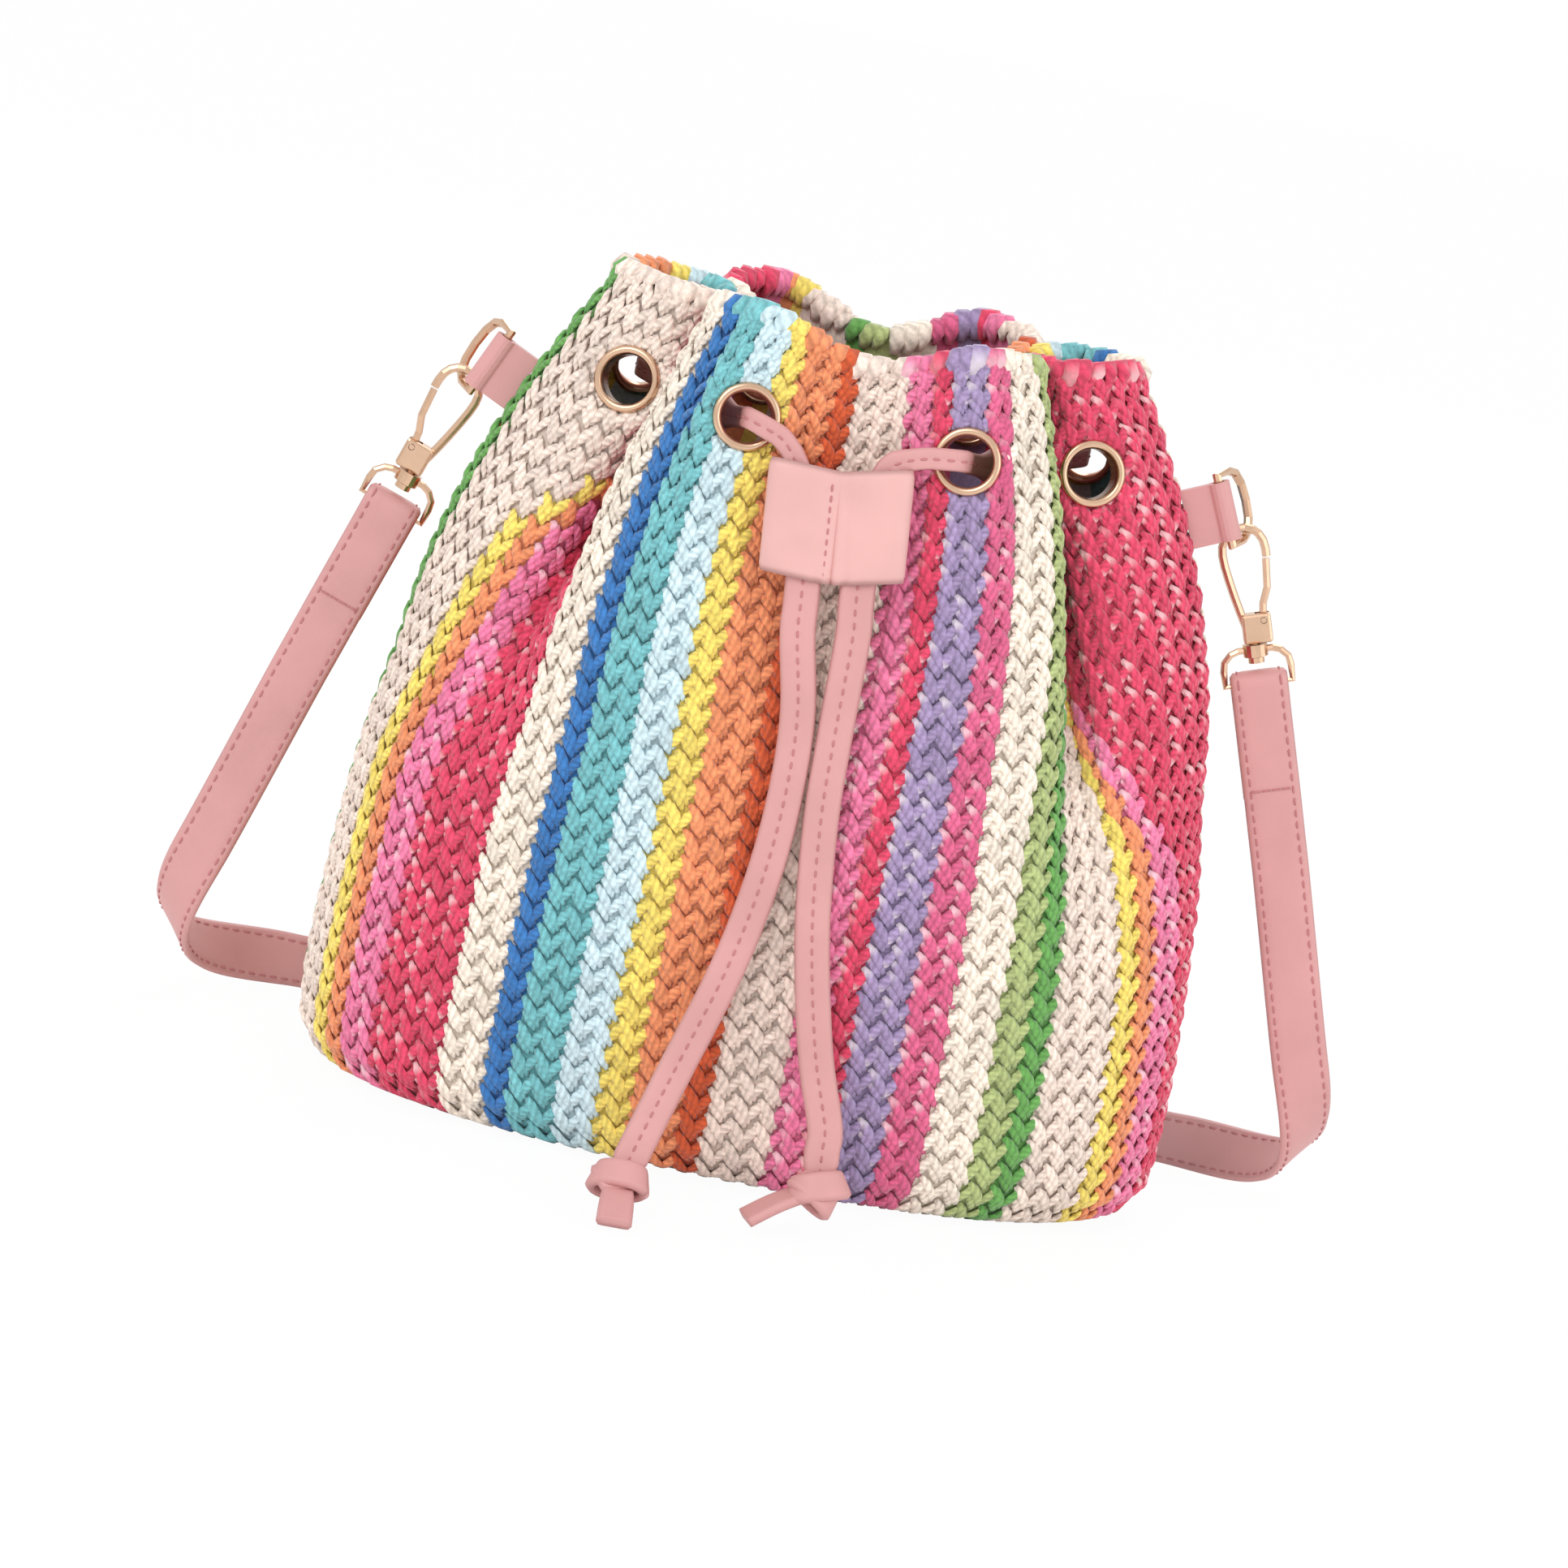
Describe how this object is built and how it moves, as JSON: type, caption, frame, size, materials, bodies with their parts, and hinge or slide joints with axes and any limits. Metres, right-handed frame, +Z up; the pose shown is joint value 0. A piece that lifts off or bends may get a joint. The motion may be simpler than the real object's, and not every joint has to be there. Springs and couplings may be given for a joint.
{
  "type": "drawstring bucket bag",
  "caption": "Striped crochet-look drawstring bucket bag on an oval base, with eyelets, a flat leather drawcord with a slider and knotted tails, and a clip-on shoulder strap.",
  "frame": {"origin": "middle of the base's underside, on the floor", "axes": "+X to the wearer's right strap end, the longest extent; -Y to the front, where the slider is; +Z up"},
  "size_m": [0.3084, 0.1729, 0.2152],
  "materials": {
    "striped_yarn": "stripes of rainbow-coloured yarn in crochet-look stitches",
    "base_yarn": "beige crochet-look stitches",
    "pink_leather": "matte dusty-pink faux leather, stitched",
    "slider_leather": "pale pink smooth faux leather",
    "pale_gold": "polished pale gold"
  },
  "bodies": {
    "bag": {"front_panel": "striped_yarn", "back_panel": "striped_yarn", "base_panel": "base_yarn", "eyelet_1": "pale_gold", "eyelet_2": "pale_gold", "eyelet_3": "pale_gold", "eyelet_4": "pale_gold", "eyelet_5": "pale_gold", "eyelet_6": "pale_gold", "eyelet_7": "pale_gold", "eyelet_8": "pale_gold", "eyelet_washer_1": "pale_gold", "eyelet_washer_2": "pale_gold", "eyelet_washer_3": "pale_gold", "eyelet_washer_4": "pale_gold", "eyelet_washer_5": "pale_gold", "eyelet_washer_6": "pale_gold", "eyelet_washer_7": "pale_gold", "eyelet_washer_8": "pale_gold", "drawcord": "pink_leather", "cord_tail_left": "pink_leather", "cord_tail_right": "pink_leather", "cord_knot_left": "pink_leather", "cord_knot_right": "pink_leather", "side_tab_left": "pink_leather", "side_tab_right": "pink_leather", "shoulder_strap": "pink_leather"},
    "slider": {"cord_slider": "slider_leather"},
    "d_ring_left": {"d_ring_left": "pale_gold"},
    "swivel_left": {"swivel_loop_left": "pale_gold"},
    "hook_left": {"hook_left": "pale_gold", "gate_pin_left": "pale_gold"},
    "gate_left": {"gate_left": "pale_gold"},
    "d_ring_right": {"d_ring_right": "pale_gold"},
    "swivel_right": {"swivel_loop_right": "pale_gold"},
    "hook_right": {"hook_right": "pale_gold", "gate_pin_right": "pale_gold"},
    "gate_right": {"gate_right": "pale_gold"}
  },
  "joints": [
    {"name": "slider_slide", "type": "slide", "parent": "bag", "child": "slider", "axis": [0.0993, -0.1213, -0.9876], "range_m": [0, 0.012]},
    {"name": "d_ring_left_swing", "type": "hinge", "parent": "bag", "child": "d_ring_left", "pos_m": [-0.09447, 0, 0.18403], "axis": [0.4186, 0, 0.9082], "range_deg": [-12, 1]},
    {"name": "swivel_left_tilt", "type": "hinge", "parent": "bag", "child": "swivel_left", "pos_m": [-0.11312, 0.0052, 0.14184], "axis": [-0.9455, 0, 0.3256], "range_deg": [-1.2, 0.6]},
    {"name": "hook_left_turn", "type": "hinge", "parent": "swivel_left", "child": "hook_left", "pos_m": [-0.11077, 0.0052, 0.14865], "axis": [0.3256, 0, 0.9455], "range_deg": [-5, 30]},
    {"name": "gate_left_open", "type": "hinge", "parent": "hook_left", "child": "gate_left", "pos_m": [-0.11052, 0.0052, 0.1583], "axis": [0, 1, 0], "range_deg": [0, 25], "stiffness_Nm_per_rad": 0.004, "springref_deg": -17.19},
    {"name": "d_ring_right_swing", "type": "hinge", "parent": "bag", "child": "d_ring_right", "pos_m": [0.09447, 0, 0.18403], "axis": [-0.4186, 0, 0.9082], "range_deg": [-1, 12]},
    {"name": "swivel_right_tilt", "type": "hinge", "parent": "bag", "child": "swivel_right", "pos_m": [0.11312, 0.0052, 0.14184], "axis": [0.9455, 0, 0.3256], "range_deg": [-0.6, 1.2]},
    {"name": "hook_right_turn", "type": "hinge", "parent": "swivel_right", "child": "hook_right", "pos_m": [0.11077, 0.0052, 0.14865], "axis": [-0.3256, 0, 0.9455], "range_deg": [-30, 5]},
    {"name": "gate_right_open", "type": "hinge", "parent": "hook_right", "child": "gate_right", "pos_m": [0.11052, 0.0052, 0.1583], "axis": [0, -1, 0], "range_deg": [0, 25], "stiffness_Nm_per_rad": 0.004, "springref_deg": -17.19}
  ]
}
